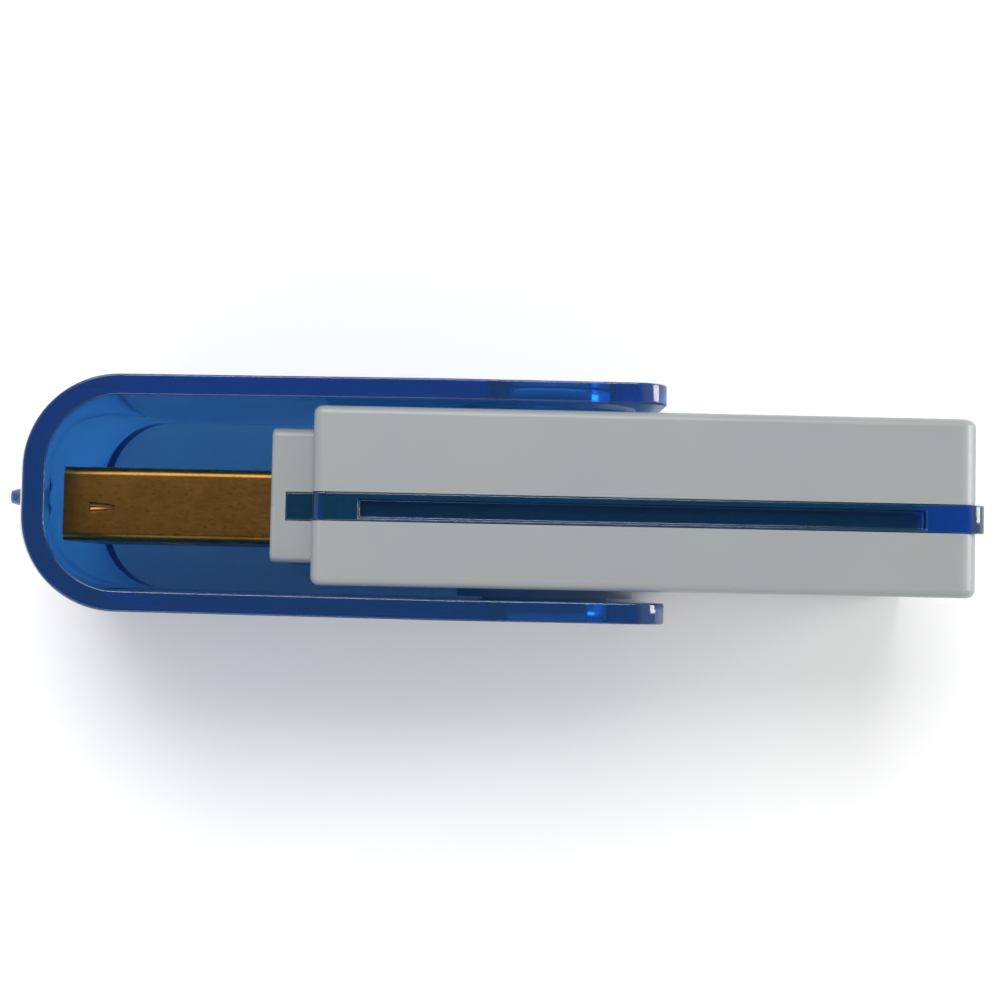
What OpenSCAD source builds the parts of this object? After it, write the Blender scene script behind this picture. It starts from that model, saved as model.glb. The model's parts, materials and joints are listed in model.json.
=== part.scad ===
// USB microcontroller programmer with a swivelling cap over its plug.
// It lies on its narrow side: +X runs from the plug to the signal header, +Y runs
// towards the top cover, and +Z runs across the width. Z = 0 is the side it rests on.

/* [Body] */
// Length of the covers, without the plug collar
body_l = 39.35; // [37:0.05:42]
// Width of the covers, cap and light bands
body_w = 20; // [19:0.1:22]
// Thickness over both covers
body_t = 10.6; // [10:0.1:11]
// Height of the top cover's side wall
top_side_h = 5.09; // [4.9:0.01:5.3]
// Thickness of the translucent light bands between the covers
band_t = 1.72; // [1.7:0.01:1.9]
// Wall thickness of the covers
wall = 1.2; // [1:0.05:1.5]
// Radius of the covers' rear corners
rear_corner_r = 1.3; // [0.8:0.1:2]
// Radius of the covers' front corners
front_corner_r = 0.5; // [0.3:0.1:1]
// Radius along the covers' outer edges
edge_r = 0.75; // [0.4:0.05:1]
// How far the collar round the plug stands in front of the covers
collar_l = 2.55; // [2:0.05:3]
// Width of the plug collar
collar_w = 17; // [15:0.1:18]
// Thickness of the plug collar
collar_t = 8; // [6.5:0.1:9]
// How far the light bands stand proud at the rear
band_proud = 0.52; // [0.2:0.01:0.8]

/* [Swivel cap] */
// Thickness over the cap's arms at the tip
cap_t = 13.96; // [13.8:0.01:14.2]
// Extra thickness over the arms at the pivot, on each side
cap_flare = 0.14; // [0:0.01:0.3]
// Wall thickness of the cap
cap_wall = 1.25; // [1.1:0.01:1.3]
// Distance from the pivot to the outside of the cap's tip
cap_reach = 32.6; // [32.2:0.1:34]
// Distance from the pivot to the end of the arms
arm_end = 6.8; // [6:0.1:9]
// Radius of the cap's two long corners, seen from the side
cap_corner_r = 5.6; // [4:0.1:6]
// Radius of the pivot bosses on the covers
boss_r = 4; // [3:0.05:4.4]
// Radial clearance between the bosses and the arms
boss_gap = 0.06; // [0.02:0.01:0.1]
// Length of the moulding stub left on the cap's tip
stub_l = 1.44; // [0.5:0.01:1.6]

/* [Plug] */
// Length of the plug outside the collar
plug_out = 12.78; // [11.7:0.01:13]
// Width of the plug
plug_w = 12; // [12:0.05:12.1]
// Thickness of the plug
plug_t = 4.5; // [4.5:0.05:4.6]
// Sheet thickness of the plug's shell
plug_sheet = 0.3; // [0.25:0.05:0.35]

/* [Circuit board] */
// Thickness of the circuit board
board_t = 1.6; // [1.5:0.05:1.62]
// Width of the circuit board
board_w = 16.4; // [16:0.1:16.5]
// Pitch of the header pins
pin_pitch = 2.54; // [2.54]
// Number of header pins in each of the two rows
pins_per_row = 5; // [4:1:5]

/* [Hidden] */
$fn = 48;
overlap = 0.4;
mid_z = body_w / 2;

// Distances along X from the pivot axis.
front = -14.15;
rear = front + body_l;
collar_front = front - collar_l;
plug_tip = collar_front - plug_out;
band_front = collar_front + 0.9;
band_rear = rear + band_proud;
stub_tip = -cap_reach - stub_l;

// The pivot's X puts the middle of the whole tool at X = 0.
pivot_x = -(stub_tip + band_rear) / 2;

// Heights along Y from the cap's middle plane. The covers sit 0.1 above it.
body_y = 0.1;
top_y = body_y + body_t / 2;
bottom_y = body_y - body_t / 2;
band_top = top_y - top_side_h;
band_bottom = band_top - band_t;
mid_y = (band_top + band_bottom) / 2;
board_top = mid_y + board_t / 2;
board_bottom = mid_y - board_t / 2;

// Inside of the cap's arms at the pivot.
arm_outer = cap_t / 2 + cap_flare;
arm_inner = arm_outer - cap_wall;
land_r = boss_r + 1.6;
land_gap = 0.17;
boss_recess = 0.15;

// Hollow inside the covers, and the socket for a 2-row plug at the rear.
hollow_front = front + wall + 0.3;
socket_depth = 9.9;
hollow_rear = rear - socket_depth;
hollow_w = body_w - 2 * 1.6;
socket_w = pins_per_row * pin_pitch + 1.3;
socket_t = 6.2;
header_x = hollow_rear + 0.15;
header_l = 2.5;
pin_side = 0.64;
pin_end = header_x + header_l + 5.9;

header_w = pins_per_row * pin_pitch;
PIN_Z = [for (i = [0:pins_per_row - 1]) (i - (pins_per_row - 1) / 2) * pin_pitch];

// Light bands, with a groove along the side between two lips.
band_w = 1.5;
groove_front = -11.4;
groove_rear = 22;
groove_depth = 0.75;
groove_t = 0.98;

// Plug shell, with its two side tabs and the four windows in its wide faces.
board_front = -10.9;
board_rear = hollow_rear - 0.1;
shell_back = board_front - 0.2;
tab_l = 1.6;
tab_half_t = 1.25;
window = [2.2, 2];
window_x = 5.2;
window_z = 2.25;

// Plug tongue and the four contacts laid in it.
tongue_front = plug_tip + 0.4;
tongue_top = mid_y - 0.1;
tongue_w = plug_w - 2 * plug_sheet;
contact_t = 0.25;
contact_w = 1.1;
CONTACT_Z = [-3.5, -1, 1, 3.5];
tail_end = board_front + 2;

// Locating posts of the covers, as [x from the pivot, z from the middle].
POSTS = [for (x = [-7.9, 10.9], z = [-6.5, 6.5]) [x, z]];
post_r = 0.7;
post_collar_r = 1.4;
board_hole_r = 0.85;

// Parts on the board, as [x from the pivot, z from the middle].
MCU = [3.8, 0];
mcu_side = 7;
mcu_t = 1.4;
leads_per_side = 12;
lead_pitch = 0.5;
CRYSTAL = [-4.3, 0];
crystal_base_t = 0.5;
CHIP_RESISTORS = [for (z = [-4.5:1.5:4.5]) [10.4, z]];
CHIP_CAPACITORS = [for (x = [0.4, 3.8, 7.2], z = [-6, 6]) [x, z]];
REGULATOR = [0.5, -3.4];
TANTALUM = [0.5, 3.6];
FUSE = [-5.6, -3.2];
PROTECTION = [-6.2, 3.4];
LED_X = [-4.4, -0.9];
led_z = 7.2;

// Places what is drawn about the pivot axis, with z measured from the middle plane.
module at_pivot() {
    translate([pivot_x, 0, mid_z]) children();
}

// Extrudes an [x, z] outline along Y from y0 to y1.
module slab(y0, y1) {
    translate([0, y1, 0]) rotate([90, 0, 0]) linear_extrude(height = y1 - y0) children();
}

// A block between two corners, given as [x, y, z].
module block(low, high) {
    translate(low) cube(high - low);
}

// A block centred on [x, z] that stands on the board's top, or hangs from its underside.
module on_board(at, size, side = 1) {
    face = side > 0 ? board_top : board_bottom - size[1];
    translate([at[0] - size[0] / 2, face, at[1] - size[2] / 2]) cube(size);
}

// A rectangle from x0 to x1 and half a width each side of z = 0, with its own end radii.
module rounded_plan(x0, x1, w, r0, r1) {
    difference() {
        translate([x0, -w / 2]) square([x1 - x0, w]);
        for (s = [-1, 1]) {
            translate([x0, s * w / 2]) corner_waste(r0, 1, -s);
            translate([x1, s * w / 2]) corner_waste(r1, -1, -s);
        }
    }
}

// What a radius takes off a square corner whose inside lies towards sx and sy.
module corner_waste(r, sx, sy) {
    difference() {
        translate([sx > 0 ? -1 : -r, sy > 0 ? -1 : -r]) square(r + 1);
        translate([sx * r, sy * r]) circle(r);
    }
}

// Covers -------------------------------------------------------------------------------

// The whole outside of both covers with rounded edges, from y0 to y1.
module cover_block(y0, y1) {
    intersection() {
        slab(y0, y1) rounded_plan(front, rear, body_w, front_corner_r, rear_corner_r);
        translate([0, 0, -mid_z]) linear_extrude(height = body_w) intersection() {
            translate([0, body_y]) rounded_plan(front, rear, body_t, edge_r, edge_r);
            translate([front, y0]) square([body_l, y1 - y0]);
        }
        translate([front, body_y, 0]) rotate([90, 0, 90])
            linear_extrude(height = body_l) rotate(90)
                rounded_plan(-body_w / 2, body_w / 2, body_t, edge_r, edge_r);
    }
}

// The collar round the plug, from y0 to y1.
module collar(y0, y1) {
    block([collar_front, y0, -collar_w / 2], [front + overlap, y1, collar_w / 2]);
}

// Hole for the plug's shell, hollow for the board and socket for the signal plug.
module cover_hollow(inner_low, inner_high) {
    block([collar_front - 1, mid_y - plug_t / 2 - 0.03, -plug_w / 2 - 0.03],
        [hollow_front + 1, mid_y + plug_t / 2 + 0.03, plug_w / 2 + 0.03]);
    block([hollow_front, inner_low, -hollow_w / 2], [hollow_rear, inner_high, hollow_w / 2]);
    block([hollow_rear - 1, mid_y - socket_t / 2, -socket_w / 2],
        [rear + 1, mid_y + socket_t / 2, socket_w / 2]);
}

// The board's header base is held in a slot behind the socket.
module header_slot() {
    block([hollow_rear - 1, mid_y - socket_t / 2 - 0.3, -socket_w / 2 - 0.3],
        [header_x + header_l + 0.05, mid_y + socket_t / 2 + 0.3, socket_w / 2 + 0.3]);
}

// Round land and snap boss that an arm of the cap turns on, standing on face_y.
module pivot_boss(face_y, land_y, end_y) {
    s = sign(end_y);
    rise = abs(end_y - face_y) + overlap;
    translate([0, face_y - s * overlap, 0]) rotate([-90 * s, 0, 0]) difference() {
        union() {
            cylinder(r = land_r, h = abs(land_y - face_y) + overlap);
            cylinder(r = boss_r, h = rise - 0.4);
            translate([0, 0, rise - 0.4]) cylinder(r1 = boss_r, r2 = boss_r - 0.4, h = 0.4);
        }
        translate([0, 0, rise - 0.3]) cylinder(r = boss_r - 1.2, h = 1);
    }
}

module top_cover() {
    color("gainsboro") at_pivot() {
        inner_y = top_y - wall;
        difference() {
            union() {
                cover_block(band_top, top_y);
                collar(mid_y, body_y + collar_t / 2);
            }
            cover_hollow(-10, inner_y);
            header_slot();
            band_seat();
        }
        pivot_boss(top_y, arm_inner - land_gap, arm_outer - boss_recess);
        for (p = POSTS) translate([p[0], inner_y + overlap, p[1]]) rotate([90, 0, 0]) {
            cylinder(r = post_collar_r, h = inner_y + overlap - board_top);
            cylinder(r = post_r, h = inner_y + overlap - board_bottom + 1.2);
        }
    }
}

module bottom_cover() {
    color("gainsboro") at_pivot() {
        inner_y = bottom_y + wall;
        difference() {
            union() {
                cover_block(bottom_y, band_bottom);
                collar(body_y - collar_t / 2, mid_y);
            }
            cover_hollow(inner_y, 10);
            header_slot();
            band_seat();
        }
        pivot_boss(bottom_y, -arm_inner + land_gap, -arm_outer + boss_recess);
        for (p = POSTS) translate([p[0], inner_y - overlap, p[1]]) rotate([-90, 0, 0])
            difference() {
                cylinder(r = post_collar_r, h = board_bottom - inner_y + overlap);
                translate([0, 0, overlap + 0.5]) cylinder(r = post_r + 0.05, h = 5);
            }
    }
}

// Light bands --------------------------------------------------------------------------

// Room in the collar for the bands' noses.
module band_seat() {
    for (s = [-1, 1]) block([band_front, band_bottom, s > 0 ? collar_w / 2 - band_w : -collar_w],
        [front + overlap, band_top, s > 0 ? collar_w : -collar_w / 2 + band_w]);
}

// One translucent band along a side, s = 1 for the upper side and -1 for the side at rest.
module light_band(s) {
    difference() {
        slab(band_bottom, band_top) intersection() {
            union() {
                rounded_plan(front, band_rear, body_w, front_corner_r, rear_corner_r);
                translate([band_front, -collar_w / 2]) square([2, collar_w]);
            }
            difference() {
                translate([band_front - 1, s > 0 ? 0 : -body_w]) square([60, body_w]);
                translate([hollow_front, -body_w / 2 + band_w])
                    square([hollow_rear - hollow_front, body_w - 2 * band_w]);
                translate([hollow_rear - 1, -socket_w / 2]) square([30, socket_w]);
                translate([band_front - 1, -collar_w / 2 + band_w])
                    square([hollow_front - band_front + 2, collar_w - 2 * band_w]);
            }
        }
        block([groove_front, mid_y - groove_t / 2, s > 0 ? body_w / 2 - groove_depth : -body_w],
            [groove_rear, mid_y + groove_t / 2, s > 0 ? body_w : -body_w / 2 + groove_depth]);
    }
}

module near_light_band() {
    color("midnightblue") at_pivot() light_band(1);
}

module far_light_band() {
    color("midnightblue") at_pivot() light_band(-1);
}

// Swivel cap ---------------------------------------------------------------------------

// Half section of the cap about the pivot axis, as [radius, y], with its long corner round.
// inset moves the outline inwards by the wall thickness.
module cap_section(inset) {
    reach = cap_reach - inset;
    half_tip = cap_t / 2 - inset;
    half_pivot = half_tip + cap_flare;
    r = cap_corner_r - inset;
    flat_r = land_r + 1;
    polygon([[0, -half_pivot], [flat_r, -half_pivot], [reach - r, -half_tip],
        [reach - r, half_tip], [flat_r, half_pivot], [0, half_pivot]]);
    translate([reach - r - 0.01, r - half_tip]) square([r + 0.01, 2 * (half_tip - r)]);
    for (s = [-1, 1]) translate([reach - r, s * (half_tip - r)]) circle(r);
}

// A solid of revolution about the pivot axis, which runs along Y.
module about_pivot() {
    rotate([-90, 0, 0]) rotate_extrude($fn = 180) children();
}

module swivel_cap() {
    color("mediumblue", 0.7) at_pivot() {
        difference() {
            intersection() {
                about_pivot() cap_section(0);
                slab(-cap_t, cap_t)
                    rounded_plan(-cap_reach - 1, arm_end, body_w, 0.5, 2);
            }
            about_pivot() cap_section(cap_wall);
            rotate([90, 0, 0]) cylinder(r = boss_r + boss_gap, h = 3 * cap_t, center = true);
        }
        translate([-cap_reach + overlap, 0, 0]) rotate([0, -90, 0])
            cylinder(r1 = 0.62, r2 = 0.45, h = stub_l + overlap);
    }
}

// USB plug -----------------------------------------------------------------------------

module usb_plug_shell() {
    color("darkgoldenrod") at_pivot() translate([0, mid_y, 0]) {
        difference() {
            block([plug_tip, -plug_t / 2, -plug_w / 2], [shell_back, plug_t / 2, plug_w / 2]);
            block([plug_tip - 1, -plug_t / 2 + plug_sheet, -plug_w / 2 + plug_sheet],
                [shell_back + 1, plug_t / 2 - plug_sheet, plug_w / 2 - plug_sheet]);
            for (z = [-window_z, window_z])
                translate([plug_tip + window_x, -plug_t, z - window[1] / 2])
                    cube([window[0], 2 * plug_t, window[1]]);
        }
        for (s = [-1, 1])
            block([shell_back - overlap, -tab_half_t, s > 0 ? plug_w / 2 - plug_sheet : -plug_w / 2],
                [shell_back + tab_l, tab_half_t, s > 0 ? plug_w / 2 : -plug_w / 2 + plug_sheet]);
    }
}

module usb_plug_tongue() {
    color("ivory") at_pivot() {
        low = mid_y - plug_t / 2 + plug_sheet;
        high = mid_y + plug_t / 2 - plug_sheet;
        difference() {
            union() {
                block([tongue_front, low, -tongue_w / 2], [shell_back, tongue_top, tongue_w / 2]);
                block([shell_back - 2.6, low, -tongue_w / 2], [shell_back, high, tongue_w / 2]);
            }
            contacts(0.02);
        }
    }
}

// Four flat strips laid in the tongue's face, which run back onto the board.
module contacts(gap) {
    for (z = CONTACT_Z) translate([0, 0, z - contact_w / 2 - gap])
        linear_extrude(height = contact_w + 2 * gap)
            polygon([[tongue_front + 1, tongue_top - contact_t / 2 - gap],
                [shell_back - 1.5, tongue_top - contact_t / 2 - gap],
                [shell_back - 0.4, board_top - gap], [tail_end, board_top],
                [tail_end, board_top + contact_t], [shell_back - 0.6, board_top + contact_t + gap],
                [shell_back - 1.7, tongue_top + contact_t / 2 + gap],
                [tongue_front + 1, tongue_top + contact_t / 2 + gap]]);
}

module usb_plug_contacts() {
    color("gold") at_pivot() contacts(0);
}

// Circuit board and what is soldered to it ---------------------------------------------

module circuit_board() {
    color("darkgreen") at_pivot() slab(board_bottom, board_top) difference() {
        translate([board_front, -board_w / 2]) square([board_rear - board_front, board_w]);
        for (p = POSTS) translate(p) circle(board_hole_r);
        for (s = [-1, 1])
            translate([board_front - 1, s * (plug_w / 2 - plug_sheet / 2) - 0.3])
                square([tab_l + 1, 0.6]);
    }
}

// A gull-wing lead that leaves a package at height_y, runs out by reach and lands on the
// board. It is drawn along +X, w wide, and centred on z = 0.
module gull_lead(reach, height_y, foot, sheet, w) {
    translate([0, 0, -w / 2]) linear_extrude(height = w)
        polygon([[-0.2, height_y], [reach - foot, height_y], [reach - foot, sheet],
            [reach, sheet], [reach, 0], [reach - foot - sheet, 0],
            [reach - foot - sheet, height_y - sheet], [-0.2, height_y - sheet]]);
}

module microcontroller() {
    color("dimgray") at_pivot() translate([MCU[0], board_top + 0.1, MCU[1]]) difference() {
        block([-mcu_side / 2, 0, -mcu_side / 2], [mcu_side / 2, mcu_t, mcu_side / 2]);
        translate([-mcu_side / 2 + 1.1, mcu_t - 0.08, mcu_side / 2 - 1.1]) rotate([-90, 0, 0])
            cylinder(r = 0.4, h = 1);
        microcontroller_lead_group();
    }
}

module microcontroller_lead_group() {
    first = -(leads_per_side - 1) / 2 * lead_pitch;
    for (turn = [0:3], i = [0:leads_per_side - 1])
        rotate([0, 90 * turn, 0])
            translate([mcu_side / 2, -0.1, first + i * lead_pitch])
                gull_lead(1, 0.75, 0.55, 0.15, 0.22);
}

module microcontroller_leads() {
    color("silver") at_pivot() translate([MCU[0], board_top + 0.1, MCU[1]])
        microcontroller_lead_group();
}

module crystal_base() {
    color("black") at_pivot() on_board(CRYSTAL, [4.6, crystal_base_t, 11.3]);
}

module crystal_can() {
    color("lightgray") at_pivot()
        translate([CRYSTAL[0], board_top + crystal_base_t, CRYSTAL[1]]) {
            slab(0, 0.35) can_plan(4.5, 11);
            slab(0.3, 3.1) can_plan(3.7, 10.2);
        }
}

// A strip w wide and l long along z, with round ends.
module can_plan(w, l) {
    translate([-w / 2, -(l - w) / 2]) square([w, l - w]);
    for (s = [-1, 1]) translate([0, s * (l - w) / 2]) circle(w / 2);
}

module voltage_regulator() {
    color("dimgray") at_pivot() on_board(REGULATOR, [4.5, 1.5, 2.5], -1);
}

module regulator_leads() {
    color("silver") at_pivot() {
        for (dx = [-1.5, 0, 1.5])
            on_board([REGULATOR[0] + dx, REGULATOR[1] + 1.75], [0.45, 0.4, 1], -1);
        on_board([REGULATOR[0], REGULATOR[1] - 1.7], [1.8, 0.4, 0.9], -1);
    }
}

module tantalum_capacitor() {
    color("goldenrod") at_pivot() on_board(TANTALUM, [3.5, 1.9, 2.8], -1);
}

module resettable_fuse() {
    color("olivedrab") at_pivot() on_board(FUSE, [4.5, 0.9, 3.2], -1);
}

module protection_diode() {
    color("dimgray") at_pivot() on_board(PROTECTION, [1.6, 1.1, 2.9], -1);
}

module diode_leads() {
    color("silver") at_pivot()
        for (s = [-1, 1], dz = [-0.95, 0, 0.95])
            on_board([PROTECTION[0] + s * 1.1, PROTECTION[1] + dz], [0.6, 0.3, 0.4], -1);
}

module chip_led(x) {
    on_board([x, led_z], [2, 0.35, 1.25]);
    translate([0, 0.3, 0]) on_board([x, led_z], [1.3, 0.5, 1.25]);
}

module power_led() {
    color("red") at_pivot() chip_led(LED_X[0]);
}

module status_led() {
    color("deepskyblue") at_pivot() chip_led(LED_X[1]);
}

module chip_resistors() {
    color("black") at_pivot() for (p = CHIP_RESISTORS) on_board(p, [1.6, 0.45, 0.8]);
}

module chip_capacitors() {
    color("tan") at_pivot() for (p = CHIP_CAPACITORS) on_board(p, [1.6, 0.8, 0.8]);
}

// Signal header ------------------------------------------------------------------------

module header_pin_group() {
    for (s = [-1, 1], z = PIN_Z)
        block([header_x - 2.6, mid_y + s * pin_pitch / 2 - pin_side / 2, z - pin_side / 2],
            [pin_end, mid_y + s * pin_pitch / 2 + pin_side / 2, z + pin_side / 2]);
}

module signal_header_base() {
    color("black") at_pivot() difference() {
        block([header_x, mid_y - pin_pitch, -header_w / 2],
            [header_x + header_l, mid_y + pin_pitch, header_w / 2]);
        header_pin_group();
    }
}

module signal_header_pins() {
    color("gold") at_pivot() header_pin_group();
}

// Solder that fills the gap between each pin's tail and its pad.
module header_solder() {
    color("silver") at_pivot() for (s = [-1, 1], z = PIN_Z)
        on_board([header_x - 1.5, z], [1.9, (pin_pitch - pin_side - board_t) / 2, 1.2], s);
}

top_cover();
bottom_cover();
near_light_band();
far_light_band();
circuit_board();
usb_plug_shell();
usb_plug_tongue();
usb_plug_contacts();
microcontroller();
microcontroller_leads();
crystal_can();
crystal_base();
voltage_regulator();
regulator_leads();
tantalum_capacitor();
resettable_fuse();
protection_diode();
diode_leads();
power_led();
status_led();
chip_resistors();
chip_capacitors();
signal_header_base();
signal_header_pins();
header_solder();
swivel_cap();
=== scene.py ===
"""Looks of a stick-shaped USB programmer with a swivel cap, lying on its narrow side.

Lengths in the classes are millimetres, measured from the cap's pivot: x towards the signal
header, y up from the cap's middle plane, z from the middle of the width.
"""

import json
import logging
import math
from dataclasses import dataclass, field
from enum import Enum
from typing import Any, Callable, Iterable, Sequence

import bpy
from mathutils import Matrix, Vector


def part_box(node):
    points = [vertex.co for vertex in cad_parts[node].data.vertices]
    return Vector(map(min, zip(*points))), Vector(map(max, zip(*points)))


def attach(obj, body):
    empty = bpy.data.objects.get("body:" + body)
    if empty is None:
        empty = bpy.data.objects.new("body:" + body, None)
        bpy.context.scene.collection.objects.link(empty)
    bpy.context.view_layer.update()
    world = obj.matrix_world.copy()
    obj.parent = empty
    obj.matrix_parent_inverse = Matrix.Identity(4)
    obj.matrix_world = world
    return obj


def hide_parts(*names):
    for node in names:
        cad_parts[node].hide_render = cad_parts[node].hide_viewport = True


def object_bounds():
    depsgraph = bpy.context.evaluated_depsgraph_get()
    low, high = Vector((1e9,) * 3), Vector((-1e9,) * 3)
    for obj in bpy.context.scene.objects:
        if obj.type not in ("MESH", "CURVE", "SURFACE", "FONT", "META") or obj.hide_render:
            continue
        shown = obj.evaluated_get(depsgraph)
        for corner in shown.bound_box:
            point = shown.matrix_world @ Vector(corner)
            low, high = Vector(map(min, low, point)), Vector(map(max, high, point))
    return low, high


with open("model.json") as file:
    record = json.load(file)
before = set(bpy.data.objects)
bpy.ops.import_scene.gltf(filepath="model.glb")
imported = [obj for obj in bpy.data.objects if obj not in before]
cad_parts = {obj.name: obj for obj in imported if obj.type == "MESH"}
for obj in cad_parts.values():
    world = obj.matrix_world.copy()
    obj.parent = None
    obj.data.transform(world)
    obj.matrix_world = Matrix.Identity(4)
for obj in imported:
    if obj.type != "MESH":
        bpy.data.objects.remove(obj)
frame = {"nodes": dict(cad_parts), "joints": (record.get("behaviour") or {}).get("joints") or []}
CAD_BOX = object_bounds()

MM = 0.001
PIVOT = Vector(next(j for j in frame["joints"] if j["name"] == "cap_swivel")["pos_m"])
NEAR = 1e-3  # Two lengths closer than this, in mm, are the same.
FAR = 9.0  # A cutter this long each way, in mm along y, goes right through the programmer.
LOG = logging.getLogger("programmer")

Point = tuple[float, float, float]


# Workshop: selecting, shaping and joining meshes ------------------------------------------


class Pick(Enum):
    """What an edit selects."""

    VERT = "VERT"
    EDGE = "EDGE"
    FACE = "FACE"


class Join(Enum):
    """How one solid is joined to another."""

    CUT = "DIFFERENCE"
    FUSE = "UNION"


def at(x: float, y: float, z: float) -> Vector:
    """Return the frame's point, in metres, for millimetres from the pivot."""
    return PIVOT + Vector((x, y, z)) * MM


def same(a: float, b: float) -> bool:
    """Return whether two lengths in mm are the same."""
    return abs(a - b) < NEAR


def work_on(piece: bpy.types.Object) -> None:
    """Deselect everything, then select one piece and make it active."""
    bpy.ops.object.select_all(action="DESELECT")
    piece.select_set(True)
    bpy.context.view_layer.objects.active = piece


def keep_place(name: str) -> bpy.types.Object:
    """Name the primitive just added and put its place into its mesh.

    Args:
        name: The new piece's name.

    Returns:
        The piece, with its object at the origin.
    """
    piece = bpy.context.active_object
    piece.name = name
    work_on(piece)
    bpy.ops.object.transform_apply(location=True, rotation=True, scale=True)
    return piece


def add_block(name: str, low: Point, high: Point) -> bpy.types.Object:
    """Add a block between two corners.

    Args:
        name: The block's name.
        low: Its lowest corner, in mm from the pivot.
        high: Its highest corner.

    Returns:
        The block.
    """
    bpy.ops.object.select_all(action="DESELECT")
    a, b = at(*low), at(*high)
    bpy.ops.mesh.primitive_cube_add(size=1, location=(a + b) / 2)
    bpy.context.active_object.scale = b - a
    return keep_place(name)


def add_turned(name: str, start: Point, end: Point, r_start: float, r_end: float,
               sides: int = 96) -> bpy.types.Object:
    """Add a round bar or cone between two points.

    Args:
        name: The bar's name.
        start: The middle of its first end, in mm from the pivot.
        end: The middle of its other end.
        r_start: Radius at the first end.
        r_end: Radius at the other end.
        sides: Number of sides.

    Returns:
        The bar.
    """
    bpy.ops.object.select_all(action="DESELECT")
    a, b = at(*start), at(*end)
    turn = (b - a).to_track_quat("Z", "Y").to_euler()
    bpy.ops.mesh.primitive_cone_add(vertices=sides, radius1=r_start * MM, radius2=r_end * MM,
                                    depth=(b - a).length, location=(a + b) / 2, rotation=turn)
    return keep_place(name)


def edit(piece: bpy.types.Object, pick: Pick, test: Callable[[list[Vector]], bool],
         *steps: Callable[[], object]) -> None:
    """Select elements of a piece by their place, then run edit-mode steps on them.

    Args:
        piece: The piece to edit.
        pick: What to select.
        test: Takes an element's points in mm from the pivot and says whether to select it.
        steps: Operators to run in edit mode.
    """
    work_on(piece)
    bpy.ops.object.mode_set(mode="EDIT")
    bpy.ops.mesh.select_mode(type=pick.value)
    bpy.ops.mesh.select_all(action="DESELECT")
    bpy.ops.object.mode_set(mode="OBJECT")
    mesh = piece.data
    points = [(v.co - PIVOT) / MM for v in mesh.vertices]
    if pick is Pick.VERT:
        for vert, point in zip(mesh.vertices, points):
            vert.select = test([point])
    else:
        for element in mesh.edges if pick is Pick.EDGE else mesh.polygons:
            element.select = test([points[i] for i in element.vertices])
    bpy.ops.object.mode_set(mode="EDIT")
    for step in steps:
        step()
    bpy.ops.object.mode_set(mode="OBJECT")


def round_edges(piece: bpy.types.Object, test: Callable[[list[Vector]], bool], radius: float,
                segments: int) -> None:
    """Round the edges that pass a test to a radius in mm."""
    edit(piece, Pick.EDGE, test, lambda: bpy.ops.mesh.bevel(
        offset=radius * MM, segments=segments, profile=0.5, affect="EDGES"))


def shift(piece: bpy.types.Object, test: Callable[[list[Vector]], bool], by: Point) -> None:
    """Move the vertices that pass a test by some mm."""
    edit(piece, Pick.VERT, test, lambda: bpy.ops.transform.translate(value=Vector(by) * MM))


def finish_with(piece: bpy.types.Object, kind: str, **settings: Any) -> None:
    """Give a piece a modifier with its settings and apply it."""
    work_on(piece)
    modifier = piece.modifiers.new(kind.lower(), kind)
    for name, value in settings.items():
        setattr(modifier, name, value)
    bpy.ops.object.modifier_apply(modifier=modifier.name)


def join(piece: bpy.types.Object, how: Join, tools: Iterable[bpy.types.Object]) -> None:
    """Cut tools out of a piece, or fuse them to it, and remove the tools.

    Args:
        piece: The piece that is kept.
        how: Cut or fuse.
        tools: The solids that it is joined with, one at a time.
    """
    for tool in tools:
        finish_with(piece, "BOOLEAN", operation=how.value, solver="MANIFOLD", object=tool)
        bpy.data.objects.remove(tool)


def clean(piece: bpy.types.Object, gap: float = 0.004) -> None:
    """Merge vertices closer than a gap in mm and join faces that lie in one plane."""
    edit(piece, Pick.VERT, lambda points: True,
         lambda: bpy.ops.mesh.remove_doubles(threshold=gap * MM),
         lambda: bpy.ops.mesh.dissolve_limited(angle_limit=math.radians(0.4)))


def soften(piece: bpy.types.Object, radius: float, segments: int = 3, angle: float = 40) -> None:
    """Round every sharp edge of a piece a little and shade it smooth.

    Args:
        piece: The piece to finish.
        radius: Radius of the rounding, in mm.
        segments: Faces across each rounding.
        angle: Edges that turn by more than this many degrees are rounded.
    """
    finish_with(piece, "BEVEL", width=radius * MM, segments=segments, limit_method="ANGLE",
                angle_limit=math.radians(angle), use_clamp_overlap=True)
    shade(piece)


def shade(piece: bpy.types.Object) -> None:
    """Shade a piece smooth, with its broad faces left flat."""
    work_on(piece)
    bpy.ops.object.shade_smooth_by_angle(angle=math.radians(35))
    finish_with(piece, "WEIGHTED_NORMAL", keep_sharp=True, weight=80)


def twin(piece: bpy.types.Object, name: str) -> bpy.types.Object:
    """Return a copy of a piece with its own mesh."""
    copy = piece.copy()
    copy.data = piece.data.copy()
    copy.name = name
    bpy.context.scene.collection.objects.link(copy)
    return copy


def into_one(name: str, pieces: Sequence[bpy.types.Object]) -> bpy.types.Object:
    """Join several objects into one piece and return it."""
    work_on(pieces[0])
    for piece in pieces:
        piece.select_set(True)
    bpy.ops.object.join()
    pieces[0].name = name
    return pieces[0]


def overhang(piece: bpy.types.Object, nodes: Sequence[str]) -> float:
    """Return how far, in mm, a piece reaches outside the box of the nodes it stands for."""
    boxes = [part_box(node) for node in nodes]
    low = [min(box[0][i] for box in boxes) for i in range(3)]
    high = [max(box[1][i] for box in boxes) for i in range(3)]
    return max(max(low[i] - vert.co[i], vert.co[i] - high[i])
               for vert in piece.data.vertices for i in range(3)) / MM


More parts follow.
